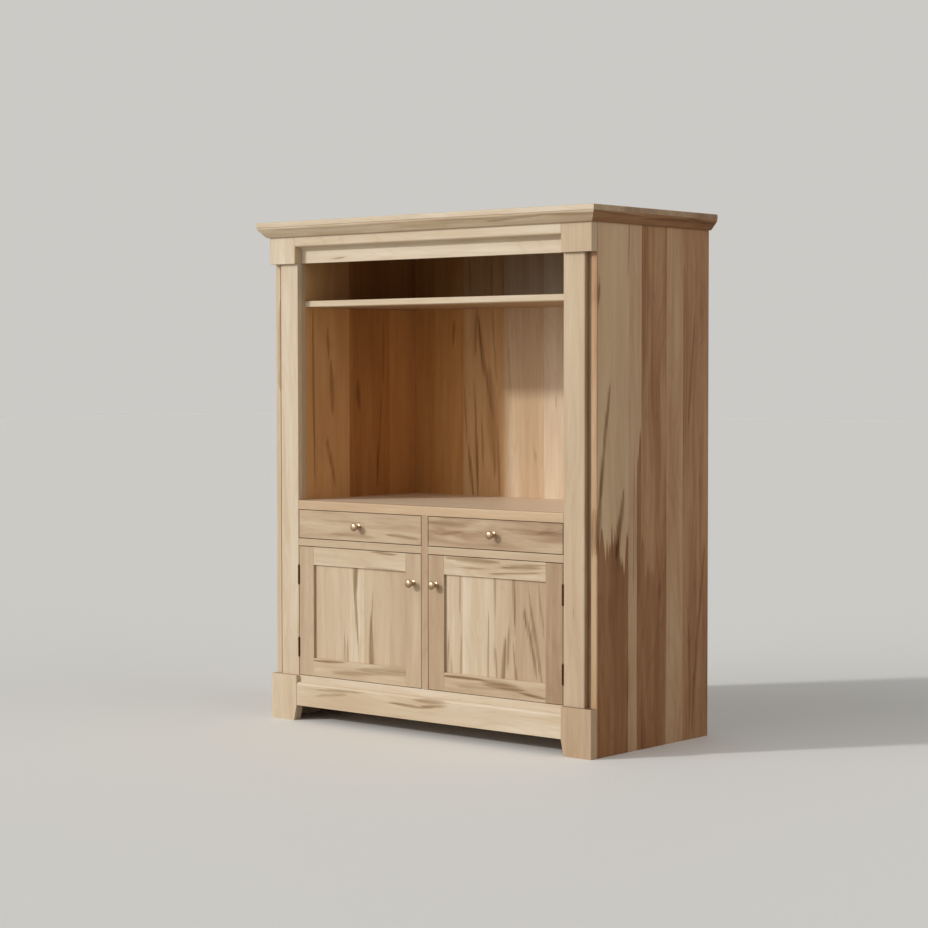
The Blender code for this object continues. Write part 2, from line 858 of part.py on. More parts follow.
def knob(name, x, z, carrier):
    """A turned knob: a rose on the wood, a waisted neck and a domed head."""
    neck_end = knob_length - knob_head_depth
    head_middle = knob_length - knob_head_depth / 2
    profile = [(0, 0), (0, knob_rose_radius), (knob_rose_depth / 2, knob_rose_radius)]
    for step in range(1, arc_steps + 1):
        share = step / arc_steps
        radius = knob_rose_radius + (knob_neck_radius - knob_rose_radius) * sin(pi / 2 * share)
        profile.append((knob_rose_depth / 2 + knob_rose_depth * share, radius))
    profile.append((neck_end, knob_neck_radius))
    for step in range(1, arc_steps * 2):
        angle = pi * step / (arc_steps * 2)
        radius = knob_head_radius * sin(angle) ** 0.75
        reach = head_middle - knob_head_depth / 2 * cos(angle)
        if radius > knob_neck_radius:
            profile.append((reach, radius))
    profile.append((knob_length, 0))
    shape = turned(profile, (x, face_front - seat_gap, z), knob_steps)
    made = piece(name, shape, brass, carrier, 0.25, 1)
    made.data.shade_smooth()
    made.data.set_sharp_from_angle(angle=pi / 5)


def drawer(side, sign):
    """A drawer front, its box grooved for a bottom, and the bottom."""
    middle = sign * (door_inner + door_outer) / 2
    carrier = axle(side + "_drawer_run", (middle, face_front, drawer_bottom))
    shape = block(
        (sign * door_inner, face_front, drawer_bottom),
        (sign * door_outer, face_back, drawer_top),
    )
    ease(shape, (0, -1, 0))
    piece(side + "_drawer_front", shape, wood_tan, carrier)
    inner = centre_half + drawer_side_clearance
    outer = opening_half - drawer_side_clearance
    front = face_back + seat_gap
    rear = back_front - drawer_rear_clearance
    bottom = mid_rail_top + seat_gap
    top = deck_bottom - drawer_top_clearance
    shape = block((sign * inner, front, bottom), (sign * outer, rear, top))
    ease(shape, (0, 0, 1))
    box = piece(side + "_drawer_box", shape, wood_sanded, carrier)
    wall = drawer_side_thickness
    hollow = block(
        (sign * (inner + wall), front + wall, bottom - cut_overrun),
        (sign * (outer - wall), rear - wall, top + cut_overrun),
    )
    combine(box, side + "_drawer_hollow", hollow)
    panel_bottom = bottom + drawer_bottom_rise
    panel_top = panel_bottom + drawer_bottom_thickness
    groove_wall = wall - drawer_groove_depth
    groove = block(
        (sign * (inner + groove_wall), front + groove_wall, panel_bottom - seat_gap),
        (sign * (outer - groove_wall), rear - groove_wall, panel_top + seat_gap),
    )
    combine(box, side + "_drawer_groove", groove)
    panel_wall = groove_wall + seat_gap
    shape = block(
        (sign * (inner + panel_wall), front + panel_wall, panel_bottom),
        (sign * (outer - panel_wall), rear - panel_wall, panel_top),
    )
    piece(side + "_drawer_bottom", shape, wood_sanded, carrier)
    knob(side + "_drawer_knob", middle, (drawer_bottom + drawer_top) / 2, carrier)


side_panels()
inner_walls()
frame_stiles()
pilasters()
corner_blocks()
plinth_blocks()
frieze()
crown()
deck_and_floor()
upper_shelf()
centre_partition()
door_catch()
cupboard_boards()
back_panel()
lower_frame()
door_carriers = doors()
hinges(door_carriers)
for side_name, side_sign in sides:
    knob_x = side_sign * (door_inner + door_stile_width / 2)
    knob(side_name + "_door_knob", knob_x, door_top - knob_drop, door_carriers[side_name])
    drawer(side_name, side_sign)
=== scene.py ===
import json
import math

import bmesh
import bpy
from mathutils import Matrix, Vector


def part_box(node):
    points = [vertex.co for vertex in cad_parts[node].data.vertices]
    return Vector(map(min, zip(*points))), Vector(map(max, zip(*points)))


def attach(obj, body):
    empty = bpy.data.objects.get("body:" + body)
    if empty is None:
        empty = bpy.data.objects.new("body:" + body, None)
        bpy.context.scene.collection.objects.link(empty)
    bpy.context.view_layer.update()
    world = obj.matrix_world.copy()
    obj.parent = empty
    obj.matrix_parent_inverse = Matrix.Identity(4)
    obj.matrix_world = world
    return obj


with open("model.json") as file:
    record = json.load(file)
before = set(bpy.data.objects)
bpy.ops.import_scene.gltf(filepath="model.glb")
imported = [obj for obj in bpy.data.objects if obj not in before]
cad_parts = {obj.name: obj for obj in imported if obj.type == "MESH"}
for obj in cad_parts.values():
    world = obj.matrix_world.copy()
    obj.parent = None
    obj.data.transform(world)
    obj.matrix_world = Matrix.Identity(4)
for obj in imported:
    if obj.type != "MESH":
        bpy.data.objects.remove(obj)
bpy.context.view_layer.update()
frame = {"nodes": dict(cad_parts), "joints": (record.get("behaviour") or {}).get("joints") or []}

# Entertainment centre in varnished spalted maple, with brass knobs and bronzed butt hinges.
nodes = frame["nodes"]
perMetre = 1000.0   # millimetres
print("frame: %d pieces" % len(nodes))


def linear(hexColour):
    # a hex colour as linear light
    parts = [int(hexColour[i:i + 2], 16) / 255 for i in (1, 3, 5)]
    return [p / 12.92 if p <= 0.04045 else ((p + 0.055) / 1.055) ** 2.4 for p in parts] + [1]


def add(tree, kind, inputs=None, **settings):
    # adds a node: settings are its own options, inputs are values or sockets to link from
    made = tree.nodes.new(kind)
    for name, value in settings.items():
        setattr(made, name, value)
    for name, value in (inputs or {}).items():
        if isinstance(value, bpy.types.NodeSocket):
            tree.links.new(value, made.inputs[name])
        else:
            made.inputs[name].default_value = value
    return made


def newMaterial(name):
    made = bpy.data.materials.new(name)
    made.use_nodes = True
    made.node_tree.nodes.clear()
    return made, made.node_tree


def newGroup(name, inputs, outputs):
    group = bpy.data.node_groups.new(name, "ShaderNodeTree")
    for words, direction in ((inputs, "INPUT"), (outputs, "OUTPUT")):
        for socket, kind in words.items():
            group.interface.new_socket(socket, in_out=direction, socket_type="NodeSocket" + kind)
    return group, add(group, "NodeGroupInput").outputs


def dress(material, *names):
    for name in names:
        piece = nodes[name]
        piece.data.materials.clear()
        piece.data.materials.append(material)


# spalted maple, planed, sanded and given two coats of satin varnish: pale and warm, with brown
# lines where the spalting ended, a soft sheen and hardly any shine
maple = {
    "tones": ((0.0, "#ECDFCA"), (0.25, "#D0B99A"), (0.5, "#B89B7C"), (0.75, "#917154"),
              (1.0, "#60412A")),   # sapwood to stained heartwood
    "stain": "#CABCA7",            # filters the wood in spalt lines and worm tracks
    "stainCoats": 2,               # and how many times it does
    "warm": (1.0, 0.66, 0.32),     # painted warm shade: the reddish cast of light bounced among the boards, at its warmest
    "warmTones": (0.4, 0.75),      # between these tones a board goes from its first share of painted warm shade to its second
    "endGrainTone": 0.35,          # sawn ends drink the varnish and go darker
    "endGrainFacing": (0.75, 0.95),   # how squarely a face looks along the board where they begin
    "roughness": 0.44,
    "roughnessSpread": (-0.05, 0.06),
    "roughnessFibre": (0.3, 0.7),  # the fibre's noise at the smoothest and the roughest place
    "specular": 0.22,
    "coat": 0.05,
    "coatRoughness": 0.28,
    "bump": 0.14,
    "bumpMm": 0.4,
    "cloud": 0.15,                 # how smoky a board is, unless it says
}
# patterns of the grain: millimetres across and along it, then the noise's own settings
patterns = {
    "fibre": (1.6, 90, {"Detail": 2.0, "Roughness": 0.6}),     # fibres, coarser than life to show
    "band": (14, 420, {"Detail": 2.0, "Roughness": 0.5}),      # stripes of early and late growth
    "broad": (56, 840, {"Detail": 2.0, "Roughness": 0.5}),     # the wider stripes that they lie in
    "figure": (75, 640, {"Detail": 1.5, "Roughness": 0.45, "Distortion": 0.35}),   # flames and loops
    "cloud": (24, 170, {"Detail": 2.5, "Roughness": 0.55, "Distortion": 0.5}),     # smoky patches
    "flame": (45, 900, {"Detail": 1.0}),                       # tongues of heartwood
    "spike": (12, 460, {"Detail": 2.0}),                       # and the thin spikes on them
    "strand": (6, 220, {"Detail": 2.0}),                       # fibres that take up more stain
}
sway = {"sizeMm": (130, 600), "reachMm": 23.0}   # the whole grain wanders sideways along a board
# growth lines along the figure, and how much each pattern darkens or lightens a board
growth = {"contours": 12.0, "contourWidth": 0.2, "contourTone": 0.035, "bandShare": 0.3,
          "stripeTone": 0.32, "stripeToneOfDark": 0.6, "fibreTone": 0.07}
# the tone of heartwood, how far its flames and spikes reach, and the depth over which it sets in
heartwood = {"tone": 0.74, "flameMm": 340.0, "spikeMm": 320.0, "edgeMm": (315.0, 350.0)}
# tracks of worms, one at most in each cell: a stain that tapers to both ends round a pinhole
wormTrack = {"cellMm": (58.0, 520.0), "halfWidthMm": (1.5, 8.0), "taper": 2.4, "raggedMm": 9.0,
             "edgeMm": (-0.6, 1.6), "strength": (0.2, 0.62), "holeMm": 0.9, "holeEdge": (1.3, 0.8)}
# placed streaks: blunter towards 0, a core of full stain, an edge that the fibres make ragged,
# and how much stain the strands take up
streak = {"bluntness": 0.7, "core": 0.05, "raggedMm": (12.0, 130.0),
          "strandRange": (0.36, 0.62), "strandTake": (0.62, 1.05)}
seedShiftMm = (431.0, 1733.0, 977.0)   # one seed to the next, through the endless log
seedSpan = 64.0                        # seeds are below this
noHeart, heartSpan = -2000.0, 4000.0   # a heart line at noHeart lies below every board


def streakGroup():
    # one spalt streak: 1 inside a tapering run from start to end, 0 outside, in millimetres
    group, given = newGroup("spaltStreak", {"place": "Vector", "start": "Vector", "end": "Vector",
                                            "width": "Float", "strength": "Float"}, {"mask": "Float"})
    run = add(group, "ShaderNodeVectorMath", {0: given["end"], 1: given["start"]},
              operation="SUBTRACT").outputs[0]
    reach = add(group, "ShaderNodeVectorMath", {0: given["place"], 1: given["start"]},
                operation="SUBTRACT").outputs[0]
    along = add(group, "ShaderNodeVectorMath", {0: reach, 1: run}, operation="DOT_PRODUCT").outputs[1]
    whole = add(group, "ShaderNodeVectorMath", {0: run, 1: run}, operation="DOT_PRODUCT").outputs[1]
    share = add(group, "ShaderNodeMath", {0: along, 1: whole}, operation="DIVIDE",
                use_clamp=True).outputs[0]
    nearest = add(group, "ShaderNodeVectorMath", {0: run, "Scale": share}, operation="SCALE").outputs[0]
    gap = add(group, "ShaderNodeVectorMath", {0: reach, 1: nearest}, operation="DISTANCE").outputs[1]
    # the half width swells from a point to the full width and back, as 4 s (1 - s) does
    rest = add(group, "ShaderNodeMath", {0: 1.0, 1: share}, operation="SUBTRACT").outputs[0]
    bell = add(group, "ShaderNodeMath", {0: share, 1: rest}, operation="MULTIPLY").outputs[0]
    bell = add(group, "ShaderNodeMath", {0: bell, 1: 4.0}, operation="MULTIPLY").outputs[0]
    bell = add(group, "ShaderNodeMath", {0: bell, 1: streak["bluntness"]}, operation="POWER").outputs[0]
    half = add(group, "ShaderNodeMath", {0: bell, 1: given["width"]}, operation="MULTIPLY").outputs[0]
    core = add(group, "ShaderNodeMath", {0: half, 1: streak["core"]}, operation="MULTIPLY").outputs[0]
    mask = add(group, "ShaderNodeMapRange",
               {"Value": gap, "From Min": half, "From Max": core, "To Min": 0.0, "To Max": 1.0},
               interpolation_type="SMOOTHSTEP").outputs[0]
    mask = add(group, "ShaderNodeMath", {0: mask, 1: given["strength"]}, operation="MULTIPLY").outputs[0]
    add(group, "NodeGroupOutput", {"mask": mask})
    return group


def patternScale(across, along):
    # turns a place in millimetres into one that counts patterns
    return 1 / across, 1 / along, 1 / across


def figureGroup():
    # the wood itself, from a place in millimetres (across, along, through), before any placed streak
    group, given = newGroup(
        "mapleFigure",
        {"place": "Vector", "tone": "Float", "seed": "Float", "tracks": "Float", "heart": "Float",
         "cloud": "Float"},
        {"tone": "Float", "stained": "Float", "fibre": "Float", "strand": "Float", "ragged": "Vector"})
    shift = add(group, "ShaderNodeVectorMath", {0: seedShiftMm, "Scale": given["seed"]},
                operation="SCALE").outputs[0]
    place = add(group, "ShaderNodeVectorMath", {0: given["place"], 1: shift}, operation="ADD").outputs[0]

    wander = add(group, "ShaderNodeVectorMath", {0: place, 1: patternScale(*sway["sizeMm"])},
                 operation="MULTIPLY").outputs[0]
    wander = add(group, "ShaderNodeTexNoise", {"Vector": wander, "Scale": 1.0, "Detail": 1.0}
                 ).outputs["Fac"]
    wander = add(group, "ShaderNodeMath", {0: wander, 1: 2 * sway["reachMm"], 2: -sway["reachMm"]},
                 operation="MULTIPLY_ADD").outputs[0]
    wander = add(group, "ShaderNodeCombineXYZ", {0: wander}).outputs[0]
    grain = add(group, "ShaderNodeVectorMath", {0: place, 1: wander}, operation="ADD").outputs[0]
    noise = {}
    for name, (across, along, settings) in patterns.items():
        scaled = add(group, "ShaderNodeVectorMath", {0: grain, 1: patternScale(across, along)},
                     operation="MULTIPLY").outputs[0]
        noise[name] = add(group, "ShaderNodeTexNoise", {"Vector": scaled, "Scale": 1.0, **settings}
                          ).outputs["Fac"]

    # contour lines of a stretched noise run like the flames and loops of flat-sawn boards
    lines = add(group, "ShaderNodeMath", {0: noise["figure"], 1: growth["contours"]},
                operation="MULTIPLY").outputs[0]
    lines = add(group, "ShaderNodeMath", {0: lines, 1: 0.5}, operation="PINGPONG").outputs[0]
    lines = add(group, "ShaderNodeMapRange",
                {"Value": lines, "From Min": growth["contourWidth"], "From Max": 0.0,
                 "To Min": 0.0, "To Max": growth["contourTone"]},
                interpolation_type="SMOOTHSTEP").outputs[0]
    # darker boards show their stripes more
    spread = add(group, "ShaderNodeMath",
                 {0: given["tone"], 1: growth["stripeToneOfDark"], 2: growth["stripeTone"]},
                 operation="MULTIPLY_ADD").outputs[0]
    stripes = add(group, "ShaderNodeMath", {0: noise["band"], 1: growth["bandShare"], 2: -0.5},
                  operation="MULTIPLY_ADD").outputs[0]
    stripes = add(group, "ShaderNodeMath", {0: noise["broad"], 1: 1 - growth["bandShare"], 2: stripes},
                  operation="MULTIPLY_ADD").outputs[0]
    tone = add(group, "ShaderNodeMath", {0: stripes, 1: spread, 2: given["tone"]},
               operation="MULTIPLY_ADD").outputs[0]
    tone = add(group, "ShaderNodeMath", {0: tone, 1: lines}, operation="ADD").outputs[0]
    fine = add(group, "ShaderNodeMath",
               {0: noise["fibre"], 1: growth["fibreTone"], 2: -growth["fibreTone"] / 2},
               operation="MULTIPLY_ADD").outputs[0]
    tone = add(group, "ShaderNodeMath", {0: tone, 1: fine}, operation="ADD").outputs[0]
    cloud = add(group, "ShaderNodeMath", {0: noise["cloud"], 1: -0.5}, operation="ADD").outputs[0]
    tone = add(group, "ShaderNodeMath", {0: cloud, 1: given["cloud"], 2: tone},
               operation="MULTIPLY_ADD").outputs[0]

    # heartwood: darker below a ragged, flame-shaped line at the given height along the board
    height = add(group, "ShaderNodeSeparateXYZ", {0: given["place"]}).outputs["Y"]
    depth = add(group, "ShaderNodeMath", {0: given["heart"], 1: height}, operation="SUBTRACT").outputs[0]
    for name in ("flame", "spike"):
        depth = add(group, "ShaderNodeMath", {0: noise[name], 1: heartwood[name + "Mm"], 2: depth},
                    operation="MULTIPLY_ADD").outputs[0]
    heart = add(group, "ShaderNodeMapRange",
                {"Value": depth, "From Min": heartwood["edgeMm"][0], "From Max": heartwood["edgeMm"][1],
                 "To Min": 0.0, "To Max": 1.0}, interpolation_type="SMOOTHSTEP").outputs[0]
    darker = add(group, "ShaderNodeMath", {0: heartwood["tone"], 1: given["tone"]},
                 operation="SUBTRACT").outputs[0]
    tone = add(group, "ShaderNodeMath", {0: darker, 1: heart, 2: tone},
               operation="MULTIPLY_ADD").outputs[0]

    # worm tracks: a tapering stain with a pinhole in its middle, in some cells of a scatter
    cellAcross, cellAlong = wormTrack["cellMm"]
    cellPlace = add(group, "ShaderNodeVectorMath", {0: grain, 1: patternScale(cellAcross, cellAlong)},
                    operation="MULTIPLY").outputs[0]
    cell = add(group, "ShaderNodeTexVoronoi", {"Vector": cellPlace, "Scale": 1.0})
    offset = add(group, "ShaderNodeVectorMath", {0: cellPlace, 1: cell.outputs["Position"]},
                 operation="SUBTRACT").outputs[0]
    aside = add(group, "ShaderNodeSeparateXYZ", {0: offset}).outputs
    chance = add(group, "ShaderNodeSeparateColor", {0: cell.outputs["Color"]}).outputs
    taper = add(group, "ShaderNodeMath", {0: aside["Y"], 1: wormTrack["taper"]},
                operation="MULTIPLY").outputs[0]
    taper = add(group, "ShaderNodeMath", {0: taper, 1: 2.0}, operation="POWER").outputs[0]
    width = add(group, "ShaderNodeMapRange", {"Value": chance[1], "To Min": wormTrack["halfWidthMm"][0],
                                              "To Max": wormTrack["halfWidthMm"][1]}).outputs[0]
    half = add(group, "ShaderNodeMath", {0: 1.0, 1: taper}, operation="SUBTRACT").outputs[0]
    half = add(group, "ShaderNodeMath", {0: half, 1: width}, operation="MULTIPLY").outputs[0]
    rag = add(group, "ShaderNodeMath",
              {0: noise["spike"], 1: wormTrack["raggedMm"], 2: -wormTrack["raggedMm"] / 2},
              operation="MULTIPLY_ADD").outputs[0]
    half = add(group, "ShaderNodeMath", {0: half, 1: rag}, operation="ADD").outputs[0]
    away = add(group, "ShaderNodeMath", {0: aside["X"]}, operation="ABSOLUTE").outputs[0]
    inside = add(group, "ShaderNodeMath", {0: away, 1: -cellAcross, 2: half},
                 operation="MULTIPLY_ADD").outputs[0]
    inside = add(group, "ShaderNodeMapRange",
                 {"Value": inside, "From Min": wormTrack["edgeMm"][0], "From Max": wormTrack["edgeMm"][1],
                  "To Min": 0.0, "To Max": 1.0}, interpolation_type="SMOOTHSTEP").outputs[0]
    strength = add(group, "ShaderNodeMapRange", {"Value": chance[2], "To Min": wormTrack["strength"][0],
                                                 "To Max": wormTrack["strength"][1]}).outputs[0]
    track = add(group, "ShaderNodeMath", {0: inside, 1: strength}, operation="MULTIPLY").outputs[0]
    hole = add(group, "ShaderNodeVectorMath", {0: offset, 1: (cellAcross, cellAlong, 0.0)},
               operation="MULTIPLY").outputs[0]
    hole = add(group, "ShaderNodeVectorMath", {0: hole}, operation="LENGTH").outputs[1]
    outer, inner = (wormTrack["holeMm"] * edge for edge in wormTrack["holeEdge"])
    hole = add(group, "ShaderNodeMapRange", {"Value": hole, "From Min": outer, "From Max": inner}
               ).outputs[0]
    track = add(group, "ShaderNodeMath", {0: track, 1: hole}, operation="MAXIMUM").outputs[0]
    chosen = add(group, "ShaderNodeMath", {0: chance[0], 1: given["tracks"]},
                 operation="LESS_THAN").outputs[0]
    stained = add(group, "ShaderNodeMath", {0: track, 1: chosen}, operation="MULTIPLY").outputs[0]

    # how far the fibres push a placed streak's edge sideways and along
    push = [add(group, "ShaderNodeMath", {0: noise[name], 1: reach, 2: -reach / 2},
                operation="MULTIPLY_ADD").outputs[0]
            for name, reach in zip(("band", "fibre"), streak["raggedMm"])]
    ragged = add(group, "ShaderNodeCombineXYZ", {0: push[0], 1: push[1]}).outputs[0]
    # and how unevenly they take up its stain
    strand = add(group, "ShaderNodeMapRange",
                 {"Value": noise["strand"], "From Min": streak["strandRange"][0],
                  "From Max": streak["strandRange"][1], "To Min": streak["strandTake"][0],
                  "To Max": streak["strandTake"][1]}).outputs[0]
    add(group, "NodeGroupOutput", {"tone": tone, "stained": stained, "fibre": noise["fibre"],
                                   "strand": strand, "ragged": ragged})
    return group


spaltStreak = streakGroup()
mapleFigure = figureGroup()


def lookPerBoard(tree, reach, starts, looks):
    # each board's own constant look, from the share of the way across at which the board starts
    ramp = add(tree, "ShaderNodeValToRGB", {0: reach})
    ramp.color_ramp.interpolation = "CONSTANT"
    stops = ramp.color_ramp.elements
    stops.remove(stops[1])
    for index, (start, look) in enumerate(zip(starts, looks)):
        stop = stops[0] if index == 0 else stops.new(start)
        stop.position, stop.color = start, look
    return ramp.outputs


def mapleMaterial(name, across, along, boards, streaks=(), turned=None, cloud=maple["cloud"],
                  warm=(0.0, 0.0), paleBehind=False):
    # across, along: the object axes.
    # boards: (far edge mm, tone, seed) and perhaps the share of cells with a worm track, the height
    # of the heart line in mm and the board's own painted warm shade, a pale and a dark share.
    # streaks: (start across, along, end across, along, half width, strength) in millimetres.
    # turned: (axis, low mm, high mm) outside which the grain runs along the third axis.
    # cloud: how smoky it is. The warmth of the pale and the dark parts is painted warm shade, the reddish
    # cast of light bounced among the boards.
    # the face behind, towards the third axis, can be left without the painted warm shade.
    made, tree = newMaterial("mapleVarnished_" + name)
    boards = [board + (0, noHeart, None)[len(board) - 3:] for board in boards]
    spot = add(tree, "ShaderNodeTexCoord").outputs
    axes = add(tree, "ShaderNodeSeparateXYZ", {0: spot["Object"]}).outputs
    normals = add(tree, "ShaderNodeSeparateXYZ", {0: spot["Normal"]}).outputs
    third = next(axis for axis in "XYZ" if axis not in across + along)
    flat = add(tree, "ShaderNodeCombineXYZ", {0: axes[across], 1: axes[along], 2: axes[third]}).outputs[0]
    facing = normals[along]
    if turned:
        axis, low, high = turned
        aside = add(tree, "ShaderNodeMath", {0: axes[axis], 1: -(low + high) / 2 / perMetre},
                    operation="ADD").outputs[0]
        aside = add(tree, "ShaderNodeMath", {0: aside}, operation="ABSOLUTE").outputs[0]
        aside = add(tree, "ShaderNodeMath", {0: aside, 1: (high - low) / 2 / perMetre},
                    operation="GREATER_THAN").outputs[0]
        other = add(tree, "ShaderNodeCombineXYZ", {0: axes[across], 1: axes[third], 2: axes[along]}
                    ).outputs[0]
        flat = add(tree, "ShaderNodeMix", {0: aside, 4: flat, 5: other}, data_type="VECTOR").outputs[1]
        facing = add(tree, "ShaderNodeMix", {0: aside, 2: facing, 3: normals[third]}).outputs[0]
    place = add(tree, "ShaderNodeVectorMath", {0: flat, "Scale": perMetre},
                operation="SCALE").outputs[0]
    if len(boards) > 1:
        # the ramps reach a metre past the outer boards' edges
        low, high = boards[0][0] - perMetre, boards[-1][0] + perMetre
        starts = [0] + [(board[0] - low) / (high - low) for board in boards[:-1]]
        reach = add(tree, "ShaderNodeSeparateXYZ", {0: place}).outputs["X"]
        reach = add(tree, "ShaderNodeMapRange", {"Value": reach, "From Min": low, "From Max": high}
                    ).outputs[0]
        looks = lookPerBoard(tree, reach, starts,
                             [(tone, seed / seedSpan, tracks, (heart - noHeart) / heartSpan)
                              for edge, tone, seed, tracks, heart, own in boards])
        parts = add(tree, "ShaderNodeSeparateColor", {0: looks["Color"]}).outputs
        tone, tracks = parts[0], parts[2]
        seed = add(tree, "ShaderNodeMath", {0: parts[1], 1: seedSpan}, operation="MULTIPLY").outputs[0]
        heart = add(tree, "ShaderNodeMath", {0: looks["Alpha"], 1: heartSpan, 2: noHeart},
                    operation="MULTIPLY_ADD").outputs[0]
        if any(board[-1] for board in boards):
            looks = lookPerBoard(tree, reach, starts, [(*(board[-1] or warm), 0, 1) for board in boards])
            warm = add(tree, "ShaderNodeSeparateColor", {0: looks["Color"]}).outputs
    else:
        tone, seed, tracks, heart = (float(value) for value in boards[0][1:5])
    figure = add(tree, "ShaderNodeGroup", {"place": place, "tone": tone, "seed": seed, "tracks": tracks,
                                           "heart": heart, "cloud": cloud}, node_tree=mapleFigure)
    stained = figure.outputs["stained"]
    if streaks:
        flatPlace = add(tree, "ShaderNodeVectorMath", {0: place, 1: (1.0, 1.0, 0.0)},
                        operation="MULTIPLY").outputs[0]
        rough = add(tree, "ShaderNodeVectorMath", {0: flatPlace, 1: figure.outputs["ragged"]},
                    operation="ADD").outputs[0]
        for x0, y0, x1, y1, width, strength in streaks:
            one = add(tree, "ShaderNodeGroup", {"place": rough, "start": (x0, y0, 0), "end": (x1, y1, 0),
                                                "width": width, "strength": strength},
                      node_tree=spaltStreak)
            stained = add(tree, "ShaderNodeMath", {0: stained, 1: one.outputs["mask"]},
                          operation="MAXIMUM").outputs[0]
        stained = add(tree, "ShaderNodeMath", {0: stained, 1: figure.outputs["strand"]},
                      operation="MULTIPLY").outputs[0]
    sawn = add(tree, "ShaderNodeMath", {0: facing}, operation="ABSOLUTE").outputs[0]
    sawn = add(tree, "ShaderNodeMapRange",
               {"Value": sawn, "From Min": maple["endGrainFacing"][0],
                "From Max": maple["endGrainFacing"][1], "To Max": maple["endGrainTone"]}).outputs[0]
    tone = add(tree, "ShaderNodeMath", {0: figure.outputs["tone"], 1: sawn}, operation="ADD").outputs[0]
    ramp = add(tree, "ShaderNodeValToRGB", {0: tone})
    stops = ramp.color_ramp.elements
    stops.remove(stops[1])
    for index, (position, colour) in enumerate(maple["tones"]):
        stop = stops[0] if index == 0 else stops.new(position)
        stop.position, stop.color = position, linear(colour)
    # painted warm shade: darker tones get more of a reddish cast that stands in for light bounced among
    # the boards
    paintedWarmShadeShare = add(tree, "ShaderNodeMapRange",
                  {"Value": tone, "From Min": maple["warmTones"][0], "From Max": maple["warmTones"][1],
                   "To Min": warm[0], "To Max": warm[1]}).outputs[0]
    # the face behind, away from the inside, is left without the painted warm shade
    if paleBehind:
        paintedShadeFace = add(tree, "ShaderNodeMath", {0: normals[third], 1: 0.5},
                       operation="LESS_THAN").outputs[0]
        paintedWarmShadeShare = add(tree, "ShaderNodeMath", {0: paintedWarmShadeShare, 1: paintedShadeFace}, operation="MULTIPLY").outputs[0]
    wood = add(tree, "ShaderNodeMix", {0: paintedWarmShadeShare, 6: ramp.outputs["Color"], 7: (*maple["warm"], 1.0)},
               data_type="RGBA", blend_type="MULTIPLY").outputs[2]
    for coat in range(maple["stainCoats"]):
        wood = add(tree, "ShaderNodeMix", {0: stained, 6: wood, 7: linear(maple["stain"])},
                   data_type="RGBA", blend_type="MULTIPLY").outputs[2]
    smoothest, roughest = (maple["roughness"] + spread for spread in maple["roughnessSpread"])
    sheen = add(tree, "ShaderNodeMapRange",
                {"Value": figure.outputs["fibre"], "From Min": maple["roughnessFibre"][0],
                 "From Max": maple["roughnessFibre"][1],
                 "To Min": smoothest, "To Max": roughest}).outputs[0]
    bump = add(tree, "ShaderNodeBump", {"Height": figure.outputs["fibre"], "Strength": maple["bump"],
                                        "Distance": maple["bumpMm"] / perMetre}).outputs[0]
    shader = add(tree, "ShaderNodeBsdfPrincipled",
                 {"Base Color": wood, "Roughness": sheen, "Normal": bump,
                  "Specular IOR Level": maple["specular"],
                  "Coat Weight": maple["coat"], "Coat Roughness": maple["coatRoughness"]})
    add(tree, "ShaderNodeOutputMaterial", {"Surface": shader.outputs[0]})
    return made


def dressBoards(pieces):
    # name: (across, along, boards, streaks) and perhaps more settings of mapleMaterial
    for name, (across, along, boards, streaks, *more) in pieces.items():
        dress(mapleMaterial(name, across, along, boards, streaks, **(more[0] if more else {})), name)
